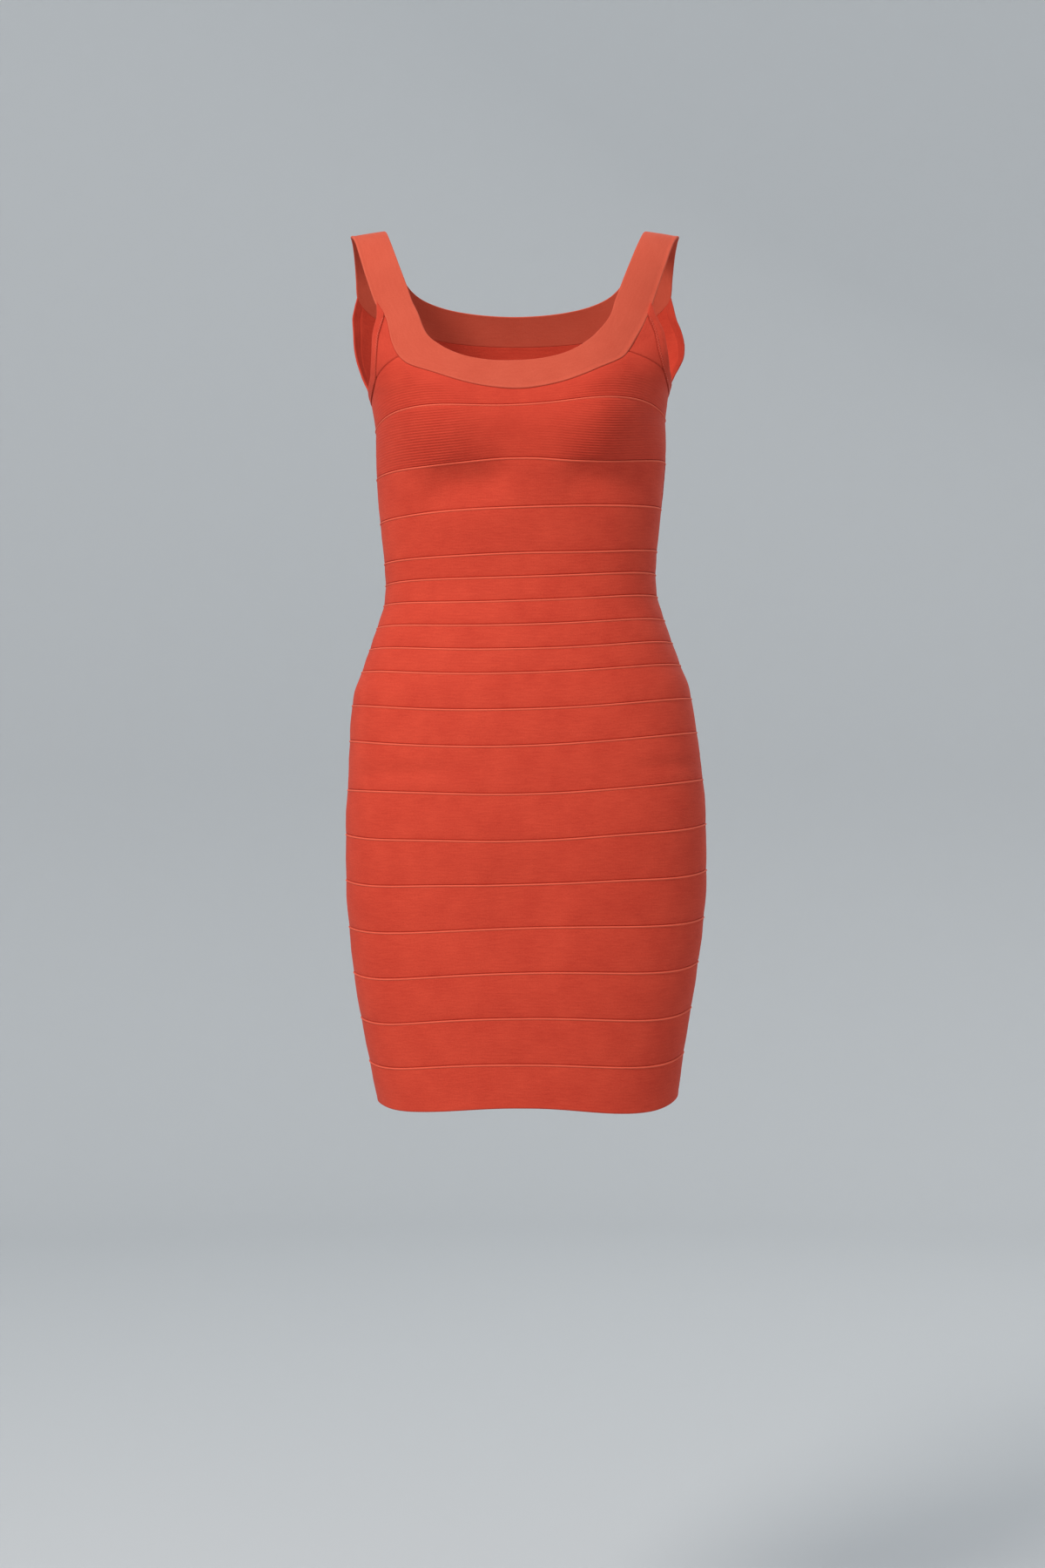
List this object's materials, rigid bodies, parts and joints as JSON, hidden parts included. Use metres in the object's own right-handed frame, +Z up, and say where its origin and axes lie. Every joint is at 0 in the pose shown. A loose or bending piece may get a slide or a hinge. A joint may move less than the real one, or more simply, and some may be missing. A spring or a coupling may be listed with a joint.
{
  "type": "bodycon dress",
  "caption": "Sleeveless bodycon mini dress of horizontal bandage-knit strips, hollow as worn, with a scoop neckband that runs into wide shoulder straps.",
  "frame": {"origin": "midway between the tops of the two shoulder straps, where the wearer's shoulders hold the dress", "axes": "+Z up along the body, the front of the dress faces -Y, +X is the viewer's right from in front"},
  "size_m": [0.3407, 0.2298, 0.8247],
  "materials": {
    "strip_knit": "matte",
    "band_knit": "matte"
  },
  "bodies": {
    "root": {"front_neckband": "band_knit", "back_neckband": "band_knit", "right_armhole_binding": "band_knit", "left_armhole_binding": "band_knit", "right_front_corner": "strip_knit", "left_front_corner": "strip_knit", "back_yoke": "strip_knit", "front_strip_01": "strip_knit", "front_strip_02": "strip_knit", "front_strip_03": "strip_knit", "front_strip_04": "strip_knit", "front_strip_05": "strip_knit", "front_strip_06": "strip_knit", "front_strip_07": "strip_knit", "front_strip_08": "strip_knit", "front_strip_09": "strip_knit", "front_strip_10": "strip_knit", "front_strip_11": "strip_knit", "front_strip_12": "strip_knit", "front_strip_13": "strip_knit", "front_strip_14": "strip_knit", "front_strip_15": "strip_knit", "front_strip_16": "strip_knit", "front_strip_17": "strip_knit", "front_strip_18": "strip_knit", "front_strip_19": "strip_knit", "back_strip_01": "strip_knit", "back_strip_02": "strip_knit", "back_strip_03": "strip_knit", "back_strip_04": "strip_knit", "back_strip_05": "strip_knit", "back_strip_06": "strip_knit", "back_strip_07": "strip_knit", "back_strip_08": "strip_knit", "back_strip_09": "strip_knit", "back_strip_10": "strip_knit", "back_strip_11": "strip_knit", "back_strip_12": "strip_knit", "back_strip_13": "strip_knit", "back_strip_14": "strip_knit", "back_strip_15": "strip_knit", "back_strip_16": "strip_knit", "back_strip_17": "strip_knit", "back_strip_18": "strip_knit", "back_strip_19": "strip_knit"}
  },
  "joints": []
}
